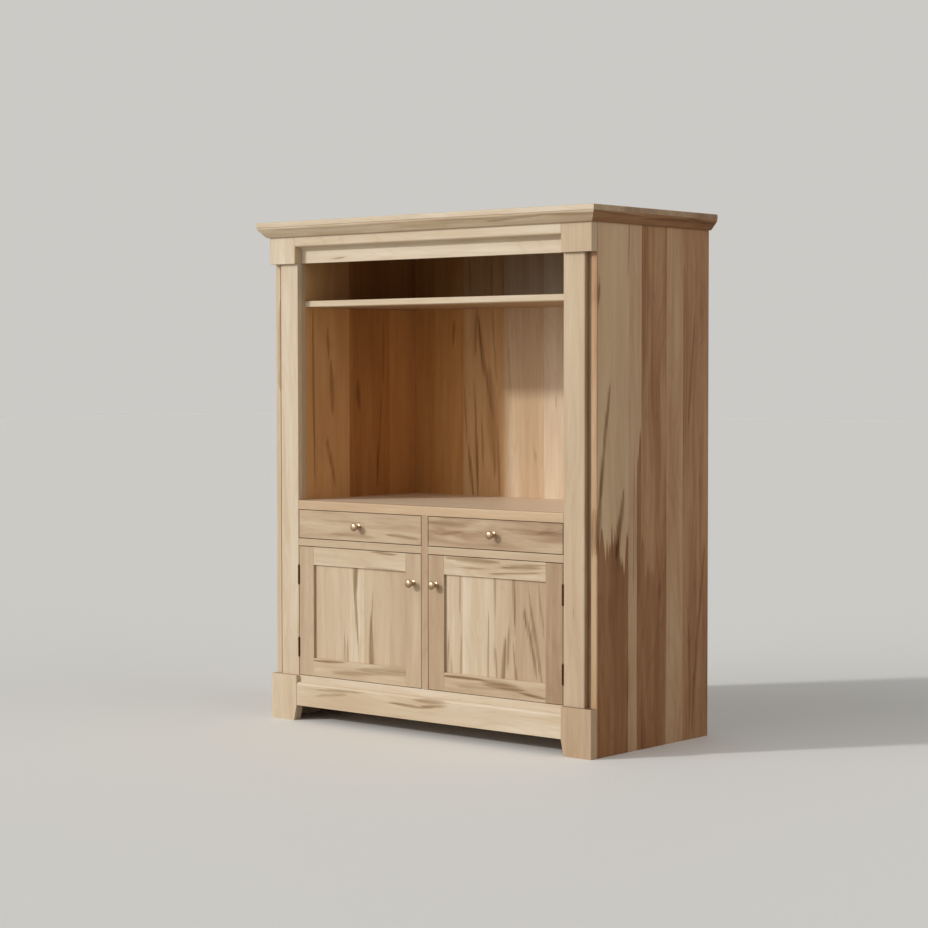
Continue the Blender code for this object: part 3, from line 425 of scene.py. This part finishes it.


# side panels and inner walls: boards glued edge to edge, grain upright
# their warmth is painted warm shade, a reddish cast of light bounced among the boards
sideBoards = {
    "right_side_panel": ("Y", "Z", [(-244, .46, 3), (-103, .27, 3, 0, 585),
                                    (-63, .4, 3), (-39, .42, 3, 0, 900),
                                    (83, .65, 9, 0, 560), (169, .47, 14),
                                    (400, .62, 22, .1)],
                         [(-236, 1345, -242, 1265, 11, .8), (-184, 1065, -206, 905, 9, .85),
                          (-199, 985, -222, 800, 13, 1), (-213, 885, -237, 680, 14, 1),
                          (-232, 740, -244, 570, 20, .9), (-96, 1540, -101, 1360, 7, .5),
                          (232, 1270, 194, 910, 8, .55), (-120, 760, -137, 630, 14, .9),
                          (-131, 690, -157, 550, 19, .95),
                          (284, 580, 247, 300, 10, .6), (250, 380, 218, 0, 9, .55),
                          (26, 1310, 26, 1284, 7, .5), (57, 476, 57, 416, 14, .5),
                          (-70, 860, -74, 450, 5, .5), (-60, 760, -64, 500, 5, .4),
                          (-95, 260, -97, 130, 7, .35)], {"warm": (.3, .75)}),
    "left_side_panel": ("Y", "Z", [(-80, .22, 31, .1, noHeart, (0.0, .2)), (30, .52, 33, .2, 640),
                                   (160, .42, 37, .1), (400, .58, 41, .2, 460)], [],
                        {"warm": (.25, .75)}),
    "left_inner_wall": ("Y", "Z", [(-36, .22, 6, .1, noHeart, (.8, .9)), (22, .58, 11, .1),
                                   (104, .52, 12), (160, .5, 14),
                                   (400, .31, 17, .1)],
                        [(-193, 1300, -186, 730, 9, .65), (-112, 1120, -105, 950, 16, .6),
                         (-125, 1230, -122, 1120, 10, .5), (-135, 886, -91, 724, 13, .55),
                         (10, 1050, 18, 970, 18, .6), (125, 1010, 100, 700, 10, .6),
                         (135, 1270, 130, 1020, 9, .45)], {"warm": (.87, .97)}),
    "right_inner_wall": ("Y", "Z", [(-90, .14, 43, .2), (60, .2, 45, .2),
                                    (170, .1, 47, .3), (400, .16, 49, .2)], [],
                         {"warm": (.5, .8)}),
    # the back's left boards lie in the shade of the left wall: their darker tones are partly the boards'
    # own colour, partly painted shade
    "back_panel": ("X", "Z", [(-446, .42, 5, .1, noHeart, (1.0, 1.0)),
                              (-318, .34, 8, 0, noHeart, (.95, 1.0)),
                              (-154, .22, 12, 0, noHeart, (.7, .9)),
                              (12, .26, 15, 0, noHeart, (.25, .5)),
                              (140, .15, 19, 0, noHeart, (.15, .3)),
                              (290, .3, 21, .2), (430, .2, 25, .1),
                              (700, .3, 29, .2)],
                   [(-354, 1255, -358, 1170, 9, .5), (-263, 1300, -266, 1130, 10, .5),
                    (-193, 1300, -188, 1150, 9, .45), (-188, 1190, -174, 1040, 8, .35),
                    (-256, 1280, -224, 1060, 12, .75), (-230, 1130, -188, 930, 14, .65),
                    (-208, 1100, -182, 760, 34, .35), (-311, 1050, -299, 850, 8, .5),
                    (-294, 860, -271, 660, 10, .75), (-270, 1060, -258, 880, 8, .55),
                    (-264, 960, -254, 650, 10, .75), (-240, 940, -234, 780, 8, .5),
                    (-191, 890, -185, 750, 7, .5), (-172, 920, -162, 660, 8, .5),
                    (-132, 1210, -121, 1030, 6, .3), (-28, 850, -11, 805, 6, .5),
                    (62, 1004, 66, 966, 5, .4), (-196, 1440, -197, 1310, 9, .5),
                    (-293, 1460, -287, 1330, 12, .4), (-150, 1430, -150, 1310, 7, .4)],
                   {"warm": (.1, .5), "paleBehind": True}),
    "centre_partition": ("Y", "Z", [(-60, .4, 14, .1), (100, .5, 24, .2), (400, .4, 34, .1)], []),
}
dressBoards(sideBoards)

# shelves, deck, floor and dust panels: grain from side to side
flatBoards = {
    # the deck's palest tones are partly its own pale wood, partly painted light standing in for the
    # bright sheen on its top
    "tv_deck": ("Y", "X", [(-240, .3, 40), (-30, 0, 42), (100, 0, 44), (400, .04, 46)], [],
                {"warm": (.2, .5)}),
    "upper_shelf": ("Y", "X", [(-175, .17, 48), (400, .55, 50, .1)], []),
    "top_board": ("Y", "X", [(-160, .16, 51, .2), (0, .3, 52, .2), (160, .24, 53, .1),
                             (400, .35, 54, .2)],
                  [(-290, -95, -292, 60, 16, .6)]),
    "cabinet_floor": ("Y", "X", [(-60, .35, 12, .1), (100, .45, 22, .1), (400, .35, 32, .1)], []),
    "left_cupboard_shelf": ("Y", "X", [(-60, .35, 16, .1), (400, .45, 26, .1)], []),
    "right_cupboard_shelf": ("Y", "X", [(-60, .4, 18, .1), (400, .35, 28, .1)], []),
    "left_dust_panel": ("Y", "X", [(0, .4, 36, .1), (400, .35, 46, .1)], []),
    "right_dust_panel": ("Y", "X", [(0, .35, 38, .1), (400, .4, 48, .1)], []),
}
dressBoards(flatBoards)

# crown, frieze, pilasters, blocks and the rails between them
frontBoards = {
    "front_crown_moulding": ("Z", "X", [(0, .27, 55)],
                             [(1529, -640, 1524, -330, 5, .2), (1520, -410, 1528, -60, 7, .2),
                              (1513, -120, 1519, 190, 5, .15), (1531, 60, 1523, 330, 5, .25),
                              (1516, 260, 1527, 500, 7, .35), (1529, 430, 1521, 690, 7, .4)],
                             {"cloud": .3}),
    "left_crown_moulding": ("Z", "Y", [(0, .45, 56)],
                            [(1528, -260, 1522, 20, 6, .5), (1518, 40, 1526, 290, 6, .4)]),
    "right_crown_moulding": ("Z", "Y", [(0, .74, 57)],
                             [(1530, -300, 1524, -60, 6, .5), (1519, -90, 1526, 180, 6, .45),
                              (1530, 150, 1521, 310, 5, .6)], {"warm": (.2, .7)}),
    "frieze_board": ("Z", "X", [(0, .18, 58)], []),
    "top_rail": ("Z", "X", [(0, .15, 59)], [(1436, -400, 1438, -330, 3, .5)]),
    "mid_rail": ("Z", "X", [(0, .3, 60)], []),
    "sill_rail": ("Z", "X", [(0, .2, 61)], []),
    "centre_stile": ("X", "Z", [(0, .48, 62)], []),
    "left_pilaster": ("X", "Z", [(0, .17, 38)], [(-527, 330, -525, 245, 4, .5)]),
    # past 591 mm the pilaster's rounded outer edge is darker: painted shade on the edge turned away from
    # the light
    "right_pilaster": ("X", "Z", [(591, .32, 36), (700, .7, 36)], [(558, 428, 561, 396, 4, .6)]),
    "left_corner_block": ("X", "Z", [(0, .18, 7)], []),
    "right_corner_block": ("X", "Z", [(0, .36, 13)], []),
    "left_plinth_block": ("X", "Z", [(0, .2, 21)], []),
    "right_plinth_block": ("X", "Z", [(0, .46, 29)], []),
    "left_frame_stile": ("X", "Z", [(0, .3, 9)], []),
    "right_frame_stile": ("X", "Z", [(0, .6, 19)], []),
    "base_rail": ("Z", "X", [(0, .21, 34)],
                  [(102, -450, 112, -240, 8, .4), (83, -440, 99, -310, 8, .4),
                   (92, -124, 86, 5, 9, .85), (86, -35, 104, 93, 9, .75), (110, -35, 110, 106, 9, .6)]),
}
dressBoards(frontBoards)

# doors: frames with a floating panel of three or four boards
doorBoards = {
    "left_door_panel": ("X", "Z", [(-258, .24, 1), (-147, .29, 4), (0, .36, 7)],
                        [(-279, 640, -292, 380, 16, .95), (-291, 450, -279, 225, 7, .75),
                         (-216, 445, -223, 293, 6, .6), (-224, 350, -221, -20, 17, .85),
                         (-335, 285, -330, 120, 9, .5), (-321, 275, -322, 120, 8, .5)]),
    "right_door_panel": ("X", "Z", [(136, .25, 10), (262, .2, 13), (336, .36, 16), (520, .4, 18)],
                         [(134, 560, 131, 360, 7, .5), (137, 321, 131, 120, 7, .4),
                          (265, 540, 265, 365, 7, .6), (241, 375, 237, 140, 7, .7),
                          (334, 530, 339, 340, 10, .75), (303, 330, 291, 140, 13, .75),
                          (318, 360, 312, 220, 9, .65), (372, 412, 392, 327, 11, .7),
                          (330, 300, 352, 150, 8, .55), (390, 367, 419, 200, 9, .7),
                          (390, 460, 442, 180, 11, .55), (420, 500, 447, 330, 7, .4),
                          (88, 317, 81, 140, 9, .5), (262, 300, 275, 160, 7, .6),
                          (96, 250, 100, 130, 8, .3)]),
    "left_door_top_rail": ("Z", "X", [(0, .22, 26)],
                           [(543, -220, 537, -110, 8, .8), (493, -250, 487, -55, 9, .6)]),
    "right_door_top_rail": ("Z", "X", [(0, .28, 20)],
                            [(541, 80, 533, 290, 17, .55), (497, 240, 516, 470, 6, .65),
                             (520, 290, 536, 480, 12, .6), (512, 120, 514, 250, 6, .4)],
                            {"cloud": .45}),
    "left_door_bottom_rail": ("Z", "X", [(0, .32, 28)],
                              [(190, -480, 194, -305, 7, .8), (178, -278, 188, 5, 17, .5),
                               (160, -385, 170, -185, 12, .45)], {"cloud": .35}),
    "right_door_bottom_rail": ("Z", "X", [(0, .35, 24)],
                               [(188, 60, 188, 250, 9, .85), (186, 213, 172, 380, 18, .65),
                                (166, 347, 153, 471, 9, .9), (163, 120, 168, 300, 9, .3)],
                               {"cloud": .4}),
    "left_door_hinge_stile": ("X", "Z", [(0, .4, 35)], []),
    "left_door_latch_stile": ("X", "Z", [(0, .38, 63)], []),
    "right_door_latch_stile": ("X", "Z", [(0, .48, 27)], []),
    "right_door_hinge_stile": ("X", "Z", [(0, .52, 39)], []),
}
dressBoards(doorBoards)

# drawers: the box's sides have their grain from front to back
boxLow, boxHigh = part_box("left_drawer_box")
boxLeft, boxRight = boxLow.x * perMetre, boxHigh.x * perMetre
boxSide = 12   # millimetres, the thickness of the box's sides
drawerBoards = {
    "left_drawer_front": ("Z", "X", [(0, .4, 30, .1)],
                          [(590, -383, 583, -184, 12, .35), (597, -159, 586, -14, 10, .5),
                           (630, -430, 628, -250, 9, .3)], {"cloud": .5}),
    "right_drawer_front": ("Z", "X", [(0, .47, 32, .2)],
                           [(641, 0, 636, 171, 16, .45), (606, 42, 618, 150, 8, .45),
                            (634, 288, 627, 537, 14, .45)], {"cloud": .7}),
    "left_drawer_box": ("Z", "X", [(0, .3, 40)], [],
                        {"turned": ("X", boxLeft + boxSide, boxRight - boxSide)}),
    "right_drawer_box": ("Z", "X", [(0, .3, 42)], [],
                         {"turned": ("X", -boxRight + boxSide, -boxLeft - boxSide)}),
    "left_drawer_bottom": ("Y", "X", [(0, .3, 44)], []),
    "right_drawer_bottom": ("Y", "X", [(0, .3, 50)], []),
}
dressBoards(drawerBoards)
boardGroups = (sideBoards, flatBoards, frontBoards, doorBoards, drawerBoards)
print("maple pieces: %d" % sum(len(group) for group in boardGroups))

# metals
# lacquered brass of the knobs: warm, bright highlights and faint marks of hand polishing
brass = {"colour": "#BDA283", "roughness": 0.28, "roughnessSpread": (-0.05, 0.08),
         "grainMm": 4.5, "detail": 3.0}
# darkened bronze of the hinges: satin, brown in the light and almost black in the shade
hinge = {"colour": "#563518", "roughness": 0.42, "roughnessSpread": (-0.08, 0.1),
         "grainMm": 6, "detail": 4.0,
         "leafMm": 0.8, "gapMm": 0.3,   # a leaf's thickness, and the gap between two leaves
         "screwRadiusMm": 2.4, "screwRiseMm": 0.12, "slotMm": 0.7, "slotDepthMm": 0.09,
         "screwSpots": ((7.5, -20), (11.5, 0), (7.5, 20))}   # mm back from the pin, mm up
# satin steel of the catch: grey, with a soft shine
catch = {"colour": "#9A9A98", "roughness": 0.35, "roughnessSpread": (-0.08, 0.1),
         "grainMm": 11, "detail": 4.0}


def metalMaterial(name, look):
    # its gloss is a little uneven, as it is on polished, plated and darkened fittings
    made, tree = newMaterial(name)
    spot = add(tree, "ShaderNodeTexCoord").outputs["Object"]
    wear = add(tree, "ShaderNodeTexNoise", {"Vector": spot, "Scale": perMetre / look["grainMm"],
                                            "Detail": look["detail"]}).outputs["Fac"]
    smoothest, roughest = (look["roughness"] + spread for spread in look["roughnessSpread"])
    gloss = add(tree, "ShaderNodeMapRange", {"Value": wear, "To Min": smoothest, "To Max": roughest}
                ).outputs[0]
    shader = add(tree, "ShaderNodeBsdfPrincipled",
                 {"Base Color": linear(look["colour"]), "Metallic": 1.0, "Roughness": gloss})
    add(tree, "ShaderNodeOutputMaterial", {"Surface": shader.outputs[0]})
    return made


dress(metalMaterial("brassPolishedLacquered", brass),
      "left_door_knob", "right_door_knob", "left_drawer_knob", "right_drawer_knob")
bronzed = metalMaterial("bronzeDarkened", hinge)


def solidBetween(shape, low, high, outline):
    # a solid between two planes across X, from its outline in Y and Z
    rings = [[shape.verts.new((x, y, z)) for y, z in outline] for x in (low, high)]
    shape.faces.new(rings[0])
    shape.faces.new(reversed(rings[1]))
    for index, near in enumerate(rings[0]):
        following = (index + 1) % len(outline)
        shape.faces.new((near, rings[1][index], rings[1][following], rings[0][following]))


def arc(centre, radius, first, last, count, side=1):
    # points round a centre in Y and Z, between two angles, both included
    angles = [first + (last - first) * step / (count - 1) for step in range(count)]
    return [(centre[0] + radius * math.cos(a), centre[1] + side * radius * math.sin(a)) for a in angles]


def leafScrews(leaf, side, part, body):
    # three slotted countersunk heads a hair proud of a hinge leaf, on the side that faces the other
    discPoints, halfPoints = 24, 11
    radius, slot = hinge["screwRadiusMm"] / perMetre, hinge["slotMm"] / perMetre
    slotEdge = math.asin(slot / 2 / radius)   # the angle at which the slot meets the rim
    low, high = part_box(leaf)
    pin = next(joint["pos_m"] for joint in frame["joints"] if joint["name"] == side + "_door_hinge")
    outward = 1 if side == "right" else -1
    inward = -outward if part == "case" else outward
    face = pin[0] - inward * hinge["gapMm"] / 2 / perMetre
    rise = hinge["screwRiseMm"] / perMetre
    floor = face + inward * (rise - hinge["slotDepthMm"] / perMetre)
    shape = bmesh.new()
    for back, up in hinge["screwSpots"]:
        centre = (pin[1] + back / perMetre, (low.z + high.z) / 2 + up / perMetre)
        ring = arc(centre, radius, 0, 2 * math.pi * (1 - 1 / discPoints), discPoints)
        solidBetween(shape, face - inward * hinge["leafMm"] / 2 / perMetre, floor, ring)
        for half in (-1, 1):
            outline = arc(centre, radius, slotEdge, math.pi - slotEdge, halfPoints, half)
            solidBetween(shape, floor, face + inward * rise, outline)
    bmesh.ops.recalc_face_normals(shape, faces=shape.faces)
    mesh = bpy.data.meshes.new(leaf + "_screws")
    shape.to_mesh(mesh)
    shape.free()
    made = bpy.data.objects.new(leaf + "_screws", mesh)
    bpy.context.collection.objects.link(made)
    made.data.materials.append(bronzed)
    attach(made, body)


for side in ("left", "right"):
    for which in ("lower", "upper"):
        for part, body in (("case", "case"), ("door", side + "_door")):
            leaf = f"{side}_{which}_hinge_{part}_leaf"
            dress(bronzed, leaf)
            leafScrews(leaf, side, part, body)
dress(metalMaterial("steelSatin", catch), "door_catch")
print("metal done")

# smooth shading and sanded edges: corners sharper than the angle, in degrees, are rounded
edges = {"mergeMm": 0.01, "woodMm": 0.7, "metalMm": 0.15, "angle": 35, "segments": 2}
for name, piece in nodes.items():
    mesh = piece.data
    if "custom_normal" in mesh.attributes:
        mesh.attributes.remove(mesh.attributes["custom_normal"])
    mesh.shade_smooth()
    weld = piece.modifiers.new("weld", "WELD")
    weld.merge_threshold = edges["mergeMm"] / perMetre
    metal = name.endswith(("_knob", "_leaf", "_catch"))
    bevel = piece.modifiers.new("sanded", "BEVEL")
    bevel.width = edges["metalMm" if metal else "woodMm"] / perMetre
    bevel.segments = edges["segments"]
    bevel.limit_method = "ANGLE"
    bevel.angle_limit = math.radians(edges["angle"])
    bevel.harden_normals = True
    piece.modifiers.new("normals", "WEIGHTED_NORMAL").keep_sharp = True
print("edges done")

# floor, light and camera
stage = {
    "floor": "#C8C4BC",       # as it throws light back on to the piece
    "floorSeen": "#F6F4EF",   # as the camera sees it
    "floorRoughness": 0.75, "floorReach": 40,
    "suns": {   # way the light travels, strength, degrees across
        "key": ((0.70, 1.0, -0.53), 1.48, 4),
        "soft": ((0.5, 1.0, -0.45), 0.98, 60),
        "fill": ((-1.0, -0.1, -0.3), 0.64, 60),
    },
    "worldStrength": 0.27,
    "backdrop": "#CCCAC6",
}
# solved from the photograph: yaw round to the right, pitch down, roll anticlockwise, in degrees
view = {"lens": 90.0, "sensor": 36, "yaw": 40.374, "pitch": 2.305, "roll": -0.06,
        "place": (4.5406, -5.41815, 1.0898), "clip": (0.1, 200)}


def makeFloor():
    shape = bmesh.new()
    bmesh.ops.create_grid(shape, x_segments=2, y_segments=2, size=stage["floorReach"])
    mesh = bpy.data.meshes.new("floor")
    shape.to_mesh(mesh)
    shape.free()
    made = bpy.data.objects.new("floor", mesh)
    bpy.context.collection.objects.link(made)
    # a matt, pale floor, which takes the soft shadow and mirrors nothing
    paint, tree = newMaterial("floorPale")
    path = add(tree, "ShaderNodeLightPath").outputs["Is Camera Ray"]
    mix = add(tree, "ShaderNodeMix", {0: path, 6: linear(stage["floor"]), 7: linear(stage["floorSeen"])},
              data_type="RGBA").outputs[2]
    shader = add(tree, "ShaderNodeBsdfPrincipled",
                 {"Base Color": mix, "Roughness": stage["floorRoughness"]})
    add(tree, "ShaderNodeOutputMaterial", {"Surface": shader.outputs[0]})
    made.data.materials.append(paint)


def makeLight():
    for name, (travel, strength, angle) in stage["suns"].items():
        lamp = bpy.data.lights.new(name, "SUN")
        lamp.energy = strength
        lamp.angle = math.radians(angle)
        sun = bpy.data.objects.new(name, lamp)
        sun.rotation_euler = Vector(travel).to_track_quat("-Z", "Y").to_euler()
        bpy.context.collection.objects.link(sun)
    world = bpy.data.worlds.new("studio")
    world.use_nodes = True
    tree = world.node_tree
    tree.nodes.clear()
    soft = add(tree, "ShaderNodeBackground", {"Color": (1, 1, 1, 1), "Strength": stage["worldStrength"]})
    seen = add(tree, "ShaderNodeBackground", {"Color": linear(stage["backdrop"]), "Strength": 1.0})
    # the camera and mirrored light see the backdrop, all other light a dimmer white
    path = add(tree, "ShaderNodeLightPath").outputs
    shown = path["Is Camera Ray"]
    for other in ("Is Glossy Ray", "Is Transmission Ray"):
        shown = add(tree, "ShaderNodeMath", {0: shown, 1: path[other]}, operation="MAXIMUM").outputs[0]
    mix = add(tree, "ShaderNodeMixShader", {0: shown, 1: soft.outputs[0], 2: seen.outputs[0]})
    add(tree, "ShaderNodeOutputWorld", {"Surface": mix.outputs[0]})
    bpy.context.scene.world = world


def makeCamera():
    lens = bpy.data.cameras.new("camera")
    lens.sensor_width = view["sensor"]
    lens.lens = view["lens"]
    lens.clip_start, lens.clip_end = view["clip"]
    made = bpy.data.objects.new("camera", lens)
    yaw, pitch, roll = (math.radians(view[way]) for way in ("yaw", "pitch", "roll"))
    ahead = Vector((-math.sin(yaw) * math.cos(pitch), math.cos(yaw) * math.cos(pitch), -math.sin(pitch)))
    right = ahead.cross(Vector((0, 0, 1))).normalized()
    up = right.cross(ahead)
    right, up = (right * math.cos(roll) + up * math.sin(roll),
                 up * math.cos(roll) - right * math.sin(roll))
    turn = Matrix((right, up, -ahead)).transposed()
    made.matrix_world = Matrix.Translation(view["place"]) @ turn.to_4x4()
    bpy.context.collection.objects.link(made)
    bpy.context.scene.camera = made


makeFloor()
makeLight()
makeCamera()
bpy.context.scene.view_settings.view_transform = "Standard"
print("stage, light and camera done")
